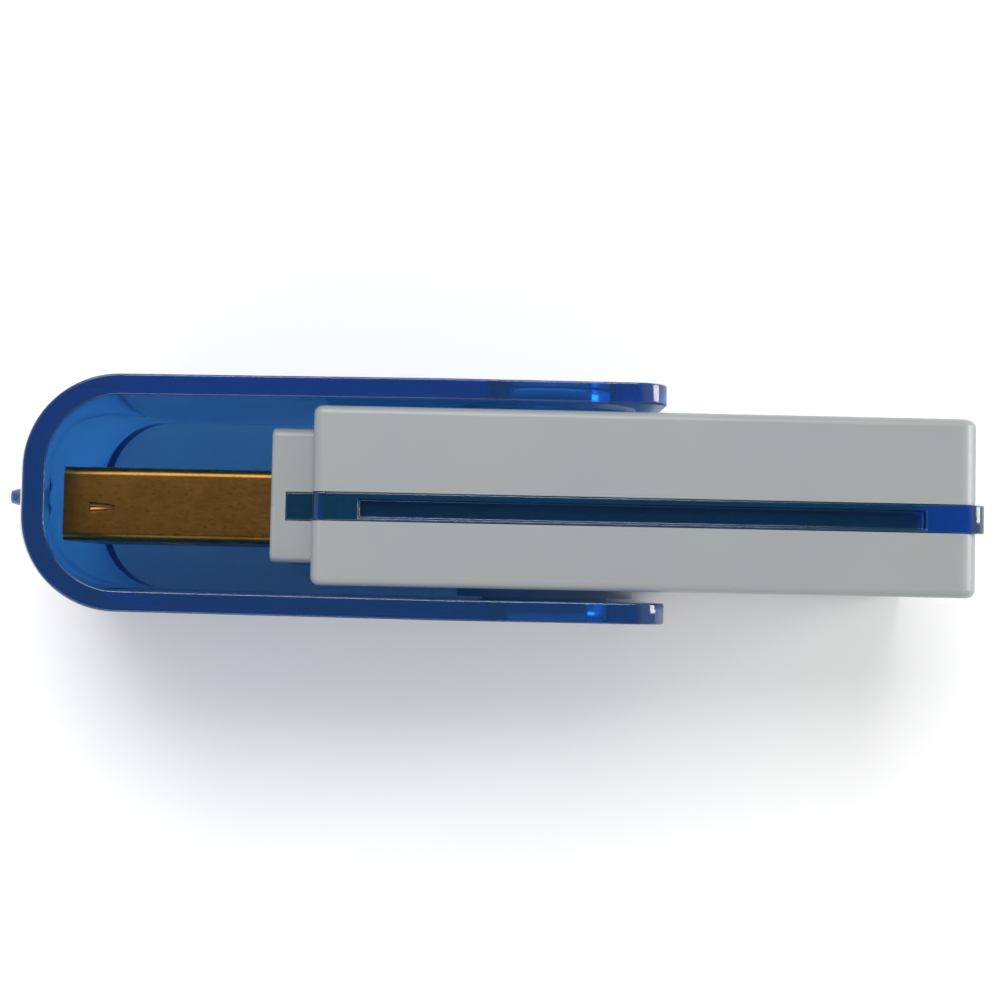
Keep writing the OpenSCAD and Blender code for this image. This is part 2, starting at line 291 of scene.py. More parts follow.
def settle(piece: bpy.types.Object, nodes: Sequence[str], body: str,
           material: bpy.types.Material) -> None:
    """Dress a finished piece and tie it to the frame.

    Args:
        piece: The finished piece.
        nodes: The CAD nodes that it stands for.
        body: The body that it rides on.
        material: Its material.
    """
    piece.data.materials.clear()
    piece.data.materials.append(material)
    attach(piece, body)
    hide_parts(*nodes)
    LOG.info("%s: %d faces, %.3f mm outside its CAD box", piece.name,
             len(piece.data.polygons), max(overhang(piece, nodes), 0))


# Finishes ---------------------------------------------------------------------------------


def linear(colour: str) -> tuple[float, float, float, float]:
    """Turn an sRGB hex colour into linear red, green, blue and alpha."""
    parts = [int(colour[i:i + 2], 16) / 255 for i in (1, 3, 5)]
    red, green, blue = (c / 12.92 if c <= 0.04045 else ((c + 0.055) / 1.055) ** 2.4
                        for c in parts)
    return red, green, blue, 1.0


def add_node(tree: bpy.types.NodeTree, kind: str, inputs: dict[Any, Any] | None = None,
             **settings: Any) -> bpy.types.Node:
    """Add a node with its settings and links.

    Args:
        tree: The tree to add it to.
        kind: The node's type.
        inputs: Values, or output sockets to link from, by input name or number.
        settings: The node's own properties.

    Returns:
        The node.
    """
    node = tree.nodes.new(kind)
    for name, value in settings.items():
        setattr(node, name, value)
    for name, value in (inputs or {}).items():
        if isinstance(value, bpy.types.NodeSocket):
            tree.links.new(value, node.inputs[name])
        else:
            node.inputs[name].default_value = value
    return node


def per_metre(size_mm: float) -> float:
    """Return the texture scale, in cells a metre, for a pattern of this size in mm."""
    return 1 / (size_mm * MM)


@dataclass(frozen=True)
class Finish:
    """An opaque finish: a colour that wanders slowly, under a fine surface grain."""

    name: str
    colour: str
    second_colour: str
    roughness: float
    patch_mm: float = 3.0
    grain_mm: float = 0.2
    grain_depth_mm: float = 0.004
    roughness_spread: float = 0.08
    metallic: float = 0.0
    ior: float = 1.5
    stretch: Point = (1.0, 1.0, 1.0)

    def pattern(self, tree: bpy.types.NodeTree, size_mm: float, detail: float) -> Any:
        """Return a noise output of a real size, stretched as the finish says."""
        place = add_node(tree, "ShaderNodeTexCoord").outputs["Object"]
        turned = add_node(tree, "ShaderNodeMapping", {"Vector": place, "Scale": self.stretch})
        noise = add_node(tree, "ShaderNodeTexNoise", {
            "Vector": turned.outputs[0], "Scale": per_metre(size_mm), "Detail": detail})
        return noise.outputs["Fac"]

    def spread(self, tree: bpy.types.NodeTree, source: Any, low: float, high: float) -> Any:
        """Return a noise output's middle range spread between two values."""
        return add_node(tree, "ShaderNodeMapRange", {
            "Value": source, "From Min": 0.3, "From Max": 0.7, "To Min": low,
            "To Max": high}).outputs[0]

    def build(self) -> bpy.types.Material:
        """Return the finish as a material."""
        material = bpy.data.materials.new(self.name)
        material.use_nodes = True
        tree = material.node_tree
        tree.nodes.clear()
        patches = self.pattern(tree, self.patch_mm, 3)
        grain = self.pattern(tree, self.grain_mm, 4)
        colour = add_node(tree, "ShaderNodeMix", {
            "Factor": self.spread(tree, patches, 0, 1), "A": linear(self.colour),
            "B": linear(self.second_colour)}, data_type="RGBA")
        bump = add_node(tree, "ShaderNodeBump", {
            "Height": grain, "Strength": 1, "Distance": self.grain_depth_mm * MM})
        surface = add_node(tree, "ShaderNodeBsdfPrincipled", {
            "Base Color": colour.outputs["Result"], "Metallic": self.metallic,
            "IOR": self.ior, "Normal": bump.outputs[0],
            "Roughness": self.spread(tree, grain, self.roughness - self.roughness_spread,
                                     self.roughness + self.roughness_spread)})
        add_node(tree, "ShaderNodeOutputMaterial", {"Surface": surface.outputs[0]})
        return material


@dataclass(frozen=True)
class ClearPlastic(Finish):
    """A clear dyed plastic: light passes, and the dye takes red most and blue least."""

    dye_per_mm: Point = (0.6, 0.2, 0.06)
    lamp_share: Point = (0.04, 0.14, 0.22)
    clarity: float = 1.0

    def build(self) -> bpy.types.Material:
        """Return the plastic as a material whose dye lies through its thickness."""
        material = bpy.data.materials.new(self.name)
        material.use_nodes = True
        tree = material.node_tree
        tree.nodes.clear()
        ripple = self.pattern(tree, self.patch_mm, 1)
        grain = self.pattern(tree, self.grain_mm, 3)
        waves = add_node(tree, "ShaderNodeBump", {
            "Height": ripple, "Strength": 1, "Distance": self.grain_depth_mm * MM})
        surface = add_node(tree, "ShaderNodeBsdfPrincipled", {
            "Base Color": linear(self.colour), "IOR": self.ior,
            "Transmission Weight": self.clarity, "Normal": waves.outputs[0],
            "Roughness": self.spread(tree, grain, self.roughness,
                                     self.roughness + self.roughness_spread)})
        # Lamps shine straight through, dimmed as by two faces, so that what is inside and
        # under the plastic is lit evenly.
        lamp = add_node(tree, "ShaderNodeBsdfTransparent", {"Color": self.lamp_share + (1,)})
        path = add_node(tree, "ShaderNodeLightPath")
        either = add_node(tree, "ShaderNodeMixShader", {
            0: path.outputs["Is Shadow Ray"], 1: surface.outputs[0], 2: lamp.outputs[0]})
        most = max(self.dye_per_mm) * 1.02
        dye = add_node(tree, "ShaderNodeVolumeAbsorption", {
            "Color": tuple(1 - taken / most for taken in self.dye_per_mm) + (1,),
            "Density": most / MM})
        add_node(tree, "ShaderNodeOutputMaterial", {
            "Surface": either.outputs[0], "Volume": dye.outputs[0]})
        return material


class Finishes:
    """All finishes of the programmer, each made once."""

    # White ABS moulded in a spark-eroded tool: an even satin that spreads every highlight. Its
    # colour
    #     # is a light grey rather than white: painted shade that keeps the covers darker than the
    #     white
    #     # table. The texture of the tool is drawn several times coarser than it is, so that it
    #     shows.
    COVER = Finish("moulded_abs_white_painted_grey_shade", "#929697", "#8e9294", 0.36, patch_mm=9, grain_mm=0.16,
                   grain_depth_mm=0.003, roughness_spread=0.05)
    # Polycarbonate from a polished tool: glassy, with long slow ripples from the flow.
    CAP = ClearPlastic("moulded_polycarbonate_blue", "#3f82c6", "#3f82c6", 0.04, patch_mm=5,
                       grain_mm=0.8, grain_depth_mm=0.012, roughness_spread=0.05, ior=1.585,
                       dye_per_mm=(0.3, 0.11, 0.02), lamp_share=(0.08, 0.2, 0.26),
                       clarity=0.87)
    # The same plastic dyed deeper, from a duller tool.
    BAND = ClearPlastic("moulded_polycarbonate_deep_blue", "#1f80b8", "#1f80b8", 0.06,
                        patch_mm=2, grain_mm=0.4, grain_depth_mm=0.01, roughness_spread=0.1,
                        ior=1.585, dye_per_mm=(2.4, 1.0, 0.24), lamp_share=(0.1, 0.25, 0.4),
                        clarity=0.88)
    # Rolled sheet steel with a thin gold flash: brown-gold, a little mottled along its
    # length. The grain is drawn coarser than it is, so that it shows.
    PLUG = Finish("gold_flashed_sheet_steel", "#7e5c2e", "#705026", 0.31, patch_mm=0.45,
                  grain_mm=0.16, grain_depth_mm=0.0014, roughness_spread=0.04, metallic=1,
                  stretch=(0.55, 1, 1))
    # Hard gold plate on stamped strip: brighter and yellower than the shell, with fine
    # streaks along it.
    GOLD = Finish("gold_plated_strip", "#e2bd6a", "#d3a850", 0.22, patch_mm=0.8, grain_mm=0.08,
                  grain_depth_mm=0.001, roughness_spread=0.06, metallic=1,
                  stretch=(0.3, 1, 1))
    # Liquid crystal polymer, moulded: matt black with pale flow streaks.
    TONGUE = Finish("moulded_crystal_polymer_black", "#1b1b1c", "#232325", 0.5, patch_mm=0.8,
                    grain_mm=0.1, grain_depth_mm=0.003, stretch=(0.3, 1, 1))
    # Nylon, moulded: black, a little shinier than the tongue.
    NYLON = Finish("moulded_nylon_black", "#161617", "#1d1d1e", 0.38, patch_mm=1.5,
                   grain_mm=0.12, grain_depth_mm=0.003)
    # Solder mask over copper on glass epoxy: glossy green that shows the weave faintly.
    BOARD = Finish("solder_mask_on_glass_epoxy", "#0c3524", "#0f402c", 0.28, patch_mm=0.6,
                   grain_mm=0.3, grain_depth_mm=0.006)
    # Transfer-moulded epoxy: dark grey and finely gritty.
    EPOXY = Finish("moulded_epoxy_dark_grey", "#262628", "#2f2f32", 0.55, patch_mm=0.7,
                   grain_mm=0.06, grain_depth_mm=0.003)
    # Matt tin plate on copper leads.
    TIN = Finish("tin_plate_matt", "#cfcfce", "#b9b9b8", 0.42, patch_mm=0.4, grain_mm=0.05,
                 grain_depth_mm=0.001, metallic=1)
    # Drawn nickel steel: fine streaks along the can.
    CAN = Finish("drawn_nickel_steel", "#c9c8c4", "#b4b3ae", 0.26, patch_mm=1, grain_mm=0.07,
                 grain_depth_mm=0.001, metallic=1, stretch=(1, 1, 0.2))
    # Moulded epoxy round a tantalum slug: ochre yellow.
    TANTALUM = Finish("moulded_epoxy_ochre", "#d99a2b", "#cf8f22", 0.45, patch_mm=0.6,
                      grain_mm=0.06, grain_depth_mm=0.002)
    # Dipped epoxy coat over the fuse: dull green.
    FUSE = Finish("dipped_epoxy_green", "#3c6a42", "#34603b", 0.5, patch_mm=0.5, grain_mm=0.08,
                  grain_depth_mm=0.004)
    # Cast epoxy lens, tinted red.
    RED_LENS = Finish("cast_epoxy_red", "#c33a30", "#b8322b", 0.15, patch_mm=0.5, grain_mm=0.3,
                      grain_depth_mm=0.002, roughness_spread=0.04)
    # Cast epoxy lens, tinted blue.
    BLUE_LENS = Finish("cast_epoxy_blue", "#7fa6cf", "#7099c4", 0.15, patch_mm=0.5, grain_mm=0.3,
                       grain_depth_mm=0.002, roughness_spread=0.04)
    # Glazed thick film on alumina: glossy black.
    RESISTOR = Finish("glazed_thick_film_black", "#151516", "#1c1c1d", 0.2, patch_mm=0.3,
                      grain_mm=0.1, grain_depth_mm=0.001)
    # Fired barium titanate: matt tan.
    CAPACITOR = Finish("fired_ceramic_tan", "#a5805b", "#99744f", 0.5, patch_mm=0.3,
                       grain_mm=0.05, grain_depth_mm=0.002)
    # Flowed solder: bright with soft dimples.
    SOLDER = Finish("flowed_solder", "#c8c8c8", "#b5b6b6", 0.2, patch_mm=0.5, grain_mm=0.4,
                    grain_depth_mm=0.01, metallic=1)
    # Studio table: pale painted board.
    TABLE = Finish("painted_board_pale", "#fbfbfb", "#f9f9f9", 0.7, patch_mm=60, grain_mm=1.5,
                   grain_depth_mm=0.01)

    def __init__(self) -> None:
        """Build every finish's material."""
        self.made = {finish.name: finish.build() for finish in vars(Finishes).values()
                     if isinstance(finish, Finish)}

    def of(self, finish: Finish) -> bpy.types.Material:
        """Return the material of a finish."""
        return self.made[finish.name]


# Sub-assemblies ---------------------------------------------------------------------------


@dataclass
class SwivelCap:
    """The clear blue cap: one U-shaped moulding that turns on the covers' bosses."""

    width: float = 20.0
    tip_thickness: float = 13.96
    flare: float = 0.14
    flare_start: float = 6.6
    wall: float = 1.25
    reach: float = 32.6
    arm_end: float = 6.8
    corner_r: float = 5.6
    corner_segments: int = 20
    plan_corner_r: float = 2.0
    hole_r: float = 4.06
    stub_root: float = 0.4
    stub_l: float = 1.44
    stub_r: tuple[float, float] = (1.0, 0.4)
    rim_r: float = 0.4
    trim: float = 0.6
    columns: int = 24

    def build(self, finishes: Finishes) -> bpy.types.Object:
        """Model the cap, dress it and return it."""
        cap = self.ribbon()
        self.bow_tip(cap)
        self.flare_arms(cap)
        finish_with(cap, "SOLIDIFY", thickness=self.wall * MM, offset=-1, use_even_offset=True)
        self.shape_ends(cap)
        settle(cap, ["swivel_cap"], "cap", finishes.of(Finishes.CAP))
        return cap

    def ribbon(self) -> bpy.types.Object:
        """Return the outside of the cap as a U-shaped strip with square sides."""
        half_t, half_w = self.tip_thickness / 2, self.width / 2 + self.trim
        cap = add_block("cap_moulding", (-self.reach, -half_t, -half_w),
                        (self.arm_end, half_t, half_w))
        round_edges(cap, lambda p: all(same(v.x, -self.reach) for v in p)
                    and same(p[0].y, p[1].y), self.corner_r, self.corner_segments)
        edit(cap, Pick.FACE, lambda p: all(same(v.x, self.arm_end) for v in p)
             or all(same(v.z, half_w) for v in p) or all(same(v.z, -half_w) for v in p),
             lambda: bpy.ops.mesh.delete(type="FACE"))
        return cap

    def bow_tip(self, cap: bpy.types.Object) -> None:
        """Bend the tip to an arc about the pivot, so that it clears the body as it turns."""
        arm_stop = -(self.reach - self.corner_r)
        half_w = self.width / 2 + self.trim
        stations = [half_w * (2 * i / self.columns - 1) for i in range(self.columns + 1)]
        for z in stations[1:-1]:
            edit(cap, Pick.FACE, lambda p: all(v.x < arm_stop + NEAR for v in p),
                 lambda: bpy.ops.mesh.bisect(plane_co=at(0, 0, z), plane_no=(0, 0, 1)))
        for z in stations:
            sagitta = self.reach - math.sqrt(self.reach ** 2 - z ** 2)
            shift(cap, lambda p: p[0].x < arm_stop + NEAR and same(p[0].z, z),
                  (sagitta, 0, 0))

    def flare_arms(self, cap: bpy.types.Object) -> None:
        """Spread the arms a little towards the pivot."""
        start = -self.flare_start
        edit(cap, Pick.FACE, lambda p: max(v.x for v in p) > start,
             lambda: bpy.ops.mesh.bisect(plane_co=at(start, 0, 0), plane_no=(1, 0, 0)))
        for side in (-1, 1):
            shift(cap, lambda p: p[0].x > start - NEAR and p[0].y * side > 0,
                  (0, side * self.flare, 0))

    def shape_ends(self, cap: bpy.types.Object) -> None:
        """Trim the rims flat, round the arms' ends, bore the holes and add the tip's stub."""
        half_w = self.width / 2
        for low, high in ((-2 * half_w, -half_w), (half_w, 2 * half_w)):
            join(cap, Join.CUT, [add_block("trim", (-self.reach - 1, -FAR, low),
                                           (self.arm_end + 1, FAR, high))])
        clean(cap)
        round_edges(cap, lambda p: same(p[0].z, p[1].z) and all(
            same(v.x, self.arm_end) and same(abs(v.z), half_w) for v in p),
                    self.plan_corner_r, 10)
        bore = add_turned("bore", (0, -self.tip_thickness, 0), (0, self.tip_thickness, 0),
                          self.hole_r, self.hole_r, 128)
        join(cap, Join.CUT, [bore])
        clean(cap)
        soften(cap, self.rim_r, segments=4)
        stub = add_turned("stub", (-self.reach + self.stub_root, 0, 0),
                          (-self.reach - self.stub_l, 0, 0), *self.stub_r, sides=32)
        join(cap, Join.FUSE, [stub])
        shade(cap)


@dataclass
class Covers:
    """The two white housing halves, with the plug collar, the pivot bosses and the posts."""

    front: float = -14.15
    rear: float = 25.2
    width: float = 20.0
    top: float = 5.4
    bottom: float = -5.2
    band: tuple[float, float] = (-1.41, 0.31)
    wall: float = 1.2
    edge_r: float = 0.5
    front_corner_r: float = 0.55
    rear_corner_r: float = 1.3
    collar_front: float = -16.7
    collar_w: float = 17.0
    collar: tuple[float, float] = (-3.9, 4.1)
    plug: tuple[float, float] = (12.06, 4.56)
    board_top: float = 0.25
    board_bottom: float = -1.35
    socket: tuple[float, float] = (14.0, 6.2)
    socket_x: float = 15.3
    header_back: float = 18.0
    hollow: tuple[float, float] = (-12.65, 15.3)
    hollow_w: float = 16.8
    boss_r: float = 4.0
    land_r: float = 5.6
    boss_end: float = 6.97
    land_end: float = 5.70
    posts_x: tuple[float, float] = (-7.9, 10.9)
    posts_z: tuple[float, float] = (-6.5, 6.5)
    post_r: float = 1.4
    pin_r: tuple[float, float] = (0.7, 0.65)
    pin_below_board: float = 1.2
    boss_chamfer: float = 0.4
    dish: tuple[float, float] = (0.8, 0.3)
    root: float = 0.4
    header_play: float = 0.3
    nose_seat: tuple[float, float] = (0.9, 1.5)
    seam_r: float = 0.09

    @property
    def middle(self) -> float:
        """Height of the parting plane of the collar."""
        return sum(self.band) / 2

    def build(self, finishes: Finishes) -> list[bpy.types.Object]:
        """Model both covers, dress them and return them."""
        made = []
        for name, side in (("top_cover", 1), ("bottom_cover", -1)):
            cover = self.shell(f"{name}_moulding", side)
            join(cover, Join.FUSE, [self.half_collar(side)])
            join(cover, Join.CUT, self.hollows(side))
            join(cover, Join.FUSE, [self.boss(side), *self.posts(side)])
            clean(cover)
            soften(cover, self.seam_r, segments=2, angle=50)
            settle(cover, [name], "programmer", finishes.of(Finishes.COVER))
            made.append(cover)
        return made

    def shell(self, name: str, side: int) -> bpy.types.Object:
        """Return one half's outside, side 1 for the top and -1 for the bottom."""
        outer = self.top if side > 0 else self.bottom
        parting = self.band[1] if side > 0 else self.band[0]
        low, high = sorted((outer, parting))
        half = self.width / 2
        shell = add_block(name, (self.front, low, -half), (self.rear, high, half))
        for x, radius in ((self.front, self.front_corner_r), (self.rear, self.rear_corner_r)):
            round_edges(shell, lambda p: same(p[0].x, x) and same(p[1].x, x)
                        and same(p[0].z, p[1].z), radius, 8)
        round_edges(shell, lambda p: all(same(v.y, outer) for v in p), self.edge_r, 6)
        return shell

    def half_collar(self, side: int) -> bpy.types.Object:
        """Return the half of the plug collar that belongs to one cover."""
        outer = self.collar[1] if side > 0 else self.collar[0]
        low, high = sorted((outer, self.middle))
        half = self.collar_w / 2
        collar = add_block("collar", (self.collar_front, low, -half),
                           (self.front + 0.6, high, half))
        round_edges(collar, lambda p: all(same(v.y, outer) for v in p)
                    and same(p[0].z, p[1].z), self.edge_r, 6)
        round_edges(collar, lambda p: all(same(v.x, self.collar_front) for v in p)
                    and not all(same(v.y, self.middle) for v in p), self.edge_r / 2, 4)
        return collar

    def hollows(self, side: int) -> list[bpy.types.Object]:
        """Return what is cut out of a cover: plug hole, board space, socket and band seats."""
        plug_w, plug_t = (size / 2 for size in self.plug)
        socket_w, socket_t = (size / 2 for size in self.socket)
        seat_w, seat_t = socket_w + self.header_play, socket_t + self.header_play
        low, high = sorted((self.inner(side), -side * FAR))
        mid = self.middle
        tools = [
            add_block("plug_hole", (self.collar_front - 1, mid - plug_t, -plug_w),
                      (self.hollow[0] + 1, mid + plug_t, plug_w)),
            add_block("board_space", (self.hollow[0], low, -self.hollow_w / 2),
                      (self.hollow[1], high, self.hollow_w / 2)),
            add_block("header_seat", (self.hollow[1] - 1, mid - seat_t, -seat_w),
                      (self.header_back, mid + seat_t, seat_w)),
            add_block("socket", (self.socket_x - 1, mid - socket_t, -socket_w),
                      (self.rear + 1, mid + socket_t, socket_w)),
        ]
        seat_in = self.collar_w / 2 - self.nose_seat[1]
        for turn in (-1, 1):
            z = sorted((turn * seat_in, turn * self.width))
            tools.append(add_block("nose_seat",
                                   (self.collar_front + self.nose_seat[0], self.band[0], z[0]),
                                   (self.front + self.root, self.band[1], z[1])))
        return tools

    def boss(self, side: int) -> bpy.types.Object:
        """Return the round land and the dished boss that an arm of the cap turns on."""
        face = self.top if side > 0 else self.bottom
        boss = add_turned("boss", (0, face - side * self.root, 0),
                          (0, side * self.land_end, 0), self.land_r, self.land_r, 128)
        rim_r = self.boss_r - self.boss_chamfer
        level = self.step(boss, side, self.land_end, self.land_r - self.boss_r,
                          self.boss_end - self.boss_chamfer - self.land_end)
        level = self.step(boss, side, level, 0, self.boss_chamfer, rim_r / self.boss_r)
        self.step(boss, side, level, self.dish[0], -self.dish[1])
        return boss

    def step(self, boss: bpy.types.Object, side: int, level: float, inset: float, rise: float,
             draw: float = 1.0) -> float:
        """Shape the next step of a boss from its end face.

        Args:
            boss: The boss so far.
            side: 1 for the top cover and -1 for the bottom.
            level: Height of its end face.
            inset: How far the step stands in from the last one.
            rise: Height of the step, below 0 for a dish.
            draw: Scale of the step's far end, below 1 for a chamfer.

        Returns:
            Height of the new end face.
        """
        if inset:
            ways = [lambda: bpy.ops.mesh.inset(thickness=inset * MM),
                    lambda: self.push(side * rise)]
        else:
            end = at(0, side * (level + rise), 0)
            ways = [lambda: self.push(side * rise),
                    lambda: bpy.ops.transform.resize(value=(draw,) * 3, center_override=end)]
        edit(boss, Pick.FACE, lambda p: all(same(v.y, side * level) for v in p), *ways)
        return level + rise

    def push(self, by: float) -> None:
        """Extrude the selected faces by some mm along y."""
        bpy.ops.mesh.extrude_region_move(TRANSFORM_OT_translate={"value": (0, by * MM, 0)})

    def inner(self, side: int) -> float:
        """Return the height of the inner face of a cover's wide wall."""
        return self.top - self.wall if side > 0 else self.bottom + self.wall

    def posts(self, side: int) -> list[bpy.types.Object]:
        """Return the locating posts that hold the board, with pins on the top cover's."""
        inner = self.inner(side)
        face = self.board_top if side > 0 else self.board_bottom
        made = []
        for x in self.posts_x:
            for z in self.posts_z:
                made.append(add_turned("post", (x, inner + side * self.root, z), (x, face, z),
                                       self.post_r, self.post_r, 32))
                if side > 0:
                    end = self.board_bottom - self.pin_below_board
                    made.append(add_turned("pin", (x, inner, z), (x, end, z), *self.pin_r,
                                           sides=32))
        return made


@dataclass
class LightBands:
    """The two clear blue bands held between the covers, one along each narrow side."""

    front: float = -14.15
    nose: float = -15.8
    rear: float = 25.72
    height: tuple[float, float] = (-1.39, 0.29)
    half_w: float = 10.0
    nose_half_w: float = 8.5
    thickness: float = 1.5
    hollow: tuple[float, float] = (-12.65, 15.3)
    socket_half_w: float = 7.0
    groove: tuple[float, float] = (-11.4, 22.0)
    groove_depth: float = 0.75
    groove_y: tuple[float, float] = (-1.2, -0.1)
    rear_corner_r: float = 1.3
    front_corner_r: float = 0.5

    def build(self, finishes: Finishes) -> list[bpy.types.Object]:
        """Model one band, mirror it for the other side, dress both and return them."""
        near = self.moulding()
        far = twin(near, "far_band_moulding")
        edit(far, Pick.VERT, lambda p: True,
             lambda: bpy.ops.transform.resize(value=(1, 1, -1), center_override=PIVOT),
             lambda: bpy.ops.mesh.normals_make_consistent(inside=False))
        made = {"near_light_band": near, "far_light_band": far}
        for node, band in made.items():
            soften(band, 0.1, segments=3)
            settle(band, [node], "programmer", finishes.of(Finishes.BAND))
        return list(made.values())

    def moulding(self) -> bpy.types.Object:
        """Return the band of the upper side, with its groove, nose and rear block."""
        low, high = self.height
        band = add_block("near_band_moulding", (self.front, low, 0), (self.rear, high, self.half_w))
        round_edges(band, lambda p: all(same(v.x, self.rear) and same(v.z, self.half_w)
                                        for v in p), self.rear_corner_r, 10)
        round_edges(band, lambda p: all(same(v.x, self.front) and same(v.z, self.half_w)
                                        for v in p), self.front_corner_r, 5)
        nose = add_block("nose", (self.nose, low, 0), (self.front + 1, high, self.nose_half_w))
        join(band, Join.FUSE, [nose])
        cuts = [
            add_block("hollow", (self.hollow[0], -FAR, -1),
                      (self.hollow[1], FAR, self.half_w - self.thickness)),
            add_block("socket", (self.hollow[1] - 1, -FAR, -1),
                      (self.rear + 1, FAR, self.socket_half_w)),
            add_block("plug_space", (self.nose - 1, -FAR, -1),
                      (self.hollow[0] + 1, FAR, self.nose_half_w - self.thickness)),
            add_block("groove", (self.groove[0], self.groove_y[0],
                                 self.half_w - self.groove_depth),
                      (self.groove[1], self.groove_y[1], self.half_w + 1)),
        ]
        join(band, Join.CUT, cuts)
        clean(band)
        return band


@dataclass
class UsbPlug:
    """The sheet-metal shell of the plug."""

    tip: float = -29.48
    back: float = -11.1
    width: float = 12.0
    thickness: float = 4.5
    middle: float = -0.55
    sheet: float = 0.3
    corner_r: float = 0.5
    window: tuple[float, float] = (2.2, 2.0)
    window_x: float = 5.2
    window_z: float = 2.25
    tab: tuple[float, float] = (1.6, 2.5)
    mark_x: tuple[float, float] = (-27.9, -26.4)
    mark_y: float = -0.75
    mark_rise: float = 0.12
    mark_r: tuple[float, float] = (0.34, 0.2)
    seam_size: tuple[float, float] = (0.08, 0.16)

    def build(self, finishes: Finishes) -> bpy.types.Object:
        """Model the shell, dress it and return it."""
        shell = self.shell()
        soften(shell, 0.05, segments=2, angle=50)
        settle(shell, ["usb_plug_shell"], "programmer", finishes.of(Finishes.PLUG))
        return shell

    def shell(self) -> bpy.types.Object:
        """Return the rolled shell with its windows, tabs, seam and pressed marks."""
        half_t, half_w = self.thickness / 2, self.width / 2
        low = (self.tip, self.middle - half_t, -half_w)
        high = (self.back, self.middle + half_t, half_w)
        shell = add_block("plug_shell_sheet", low, high)
        round_edges(shell, lambda p: not same(p[0].x, p[1].x), self.corner_r, 6)
        edit(shell, Pick.FACE, lambda p: all(same(v.x, self.tip) for v in p)
             or all(same(v.x, self.back) for v in p), lambda: bpy.ops.mesh.delete(type="FACE"))
        finish_with(shell, "SOLIDIFY", thickness=self.sheet * MM, offset=-1,
                    use_even_offset=True)
        join(shell, Join.FUSE, self.tabs())
        join(shell, Join.CUT, [*self.windows(), self.seam(), *self.marks()])
        clean(shell)
        return shell

    def windows(self) -> list[bpy.types.Object]:
        """Return the cutters of the four latch windows, each pair in one bar."""
        half_l, half_z = self.window[0] / 2, self.window[1] / 2
        x = self.tip + self.window_x + half_l
        cutters = []
        for z in (-self.window_z, self.window_z):
            bar = add_block("window", (x - half_l, -FAR, z - half_z),
                            (x + half_l, FAR, z + half_z))
            round_edges(bar, lambda p: not same(p[0].y, p[1].y), 0.2, 4)
            cutters.append(bar)
        return cutters

    def tabs(self) -> list[bpy.types.Object]:
        """Return the two tabs that hold the shell to the board."""
        length, height = self.tab
        made = []
        for side in (-1, 1):
            z = sorted((side * self.width / 2, side * (self.width / 2 - self.sheet)))
            made.append(add_block("tab", (self.back - 0.4, self.middle - height / 2, z[0]),
                                  (self.back + length, self.middle + height / 2, z[1])))
        return made

    def seam(self) -> bpy.types.Object:
        """Return the cutter of the butt seam along the underside."""
        low = self.middle - self.thickness / 2
        half, deep = self.seam_size[0] / 2, self.seam_size[1]
        return add_block("seam", (self.tip - 1, low - deep, -half),
                         (self.back + 1, low + deep, half))

    def marks(self) -> list[bpy.types.Object]:
        """Return the cutters of the pressed marks on the narrow sides."""
        made = []
        for side in (-1, 1):
            z = side * (self.width / 2 + self.mark_rise)
            made.append(add_turned("mark", (self.mark_x[0], self.mark_y, z),
                                   (self.mark_x[1], self.mark_y, z), *self.mark_r, sides=24))
        return made


@dataclass
class SignalHeader:
    """The pins of the 2-row header in the rear socket."""

    pitch: float = 2.54
    per_row: int = 5
    side: float = 0.64
    start: float = 12.85
    end: float = 23.85
    middle: float = -0.55
    taper: float = 0.5

    def build(self, finishes: Finishes) -> bpy.types.Object:
        """Model one pin, copy it to the other places, and return the set as one piece."""
        places = [(self.middle + row * self.pitch / 2,
                   (place - (self.per_row - 1) / 2) * self.pitch)
                  for row in (-1, 1) for place in range(self.per_row)]
        first = self.pin(*places[0])
        pins = [first]
        for y, z in places[1:]:
            copy = twin(first, "pin")
            by = Vector((0, y - places[0][0], z - places[0][1])) * MM
            copy.data.transform(Matrix.Translation(by))
            pins.append(copy)
        header = into_one("header_pin_set", pins)
        settle(header, ["signal_header_pins"], "programmer",
               finishes.of(Finishes.GOLD))
        return header

    def pin(self, y: float, z: float) -> bpy.types.Object:
        """Return a square pin at a height and depth, with its ends drawn in."""
        half = self.side / 2
        pin = add_block("pin", (self.start, y - half, z - half), (self.end, y + half, z + half))
        for x, turn in ((self.start, 1), (self.end, -1)):
            edit(pin, Pick.FACE, lambda p: all(same(v.x, x) for v in p),
                 lambda: bpy.ops.mesh.extrude_region_move(
                     TRANSFORM_OT_translate={"value": (0, 0, 0)}),
                 lambda: bpy.ops.transform.resize(value=(1, 0.5, 0.5),
                                                  center_override=at(x, y, z)))
            shift(pin, lambda p: same(p[0].x, x) and (abs(p[0].y - y) > half - NEAR),
                  (turn * self.taper, 0, 0))
        soften(pin, 0.04, segments=2, angle=50)
        return pin


@dataclass(frozen=True)
class BoardPart:
    """A part whose CAD shape is right and only needs its edges eased."""

    node: str
    piece: str
    slot: str
    finish: Finish
    edge: float

    def build(self, finishes: Finishes) -> bpy.types.Object:
        """Copy the part's own mesh, ease its edges, dress it and return it."""
        part = twin(frame["nodes"][self.node], self.piece)
        part.parent = None
        for key in list(part.keys()):
            del part[key]
        clean(part, 0.002)
        soften(part, self.edge, segments=2, angle=50)
        settle(part, [self.node], "programmer", finishes.of(self.finish))
        return part


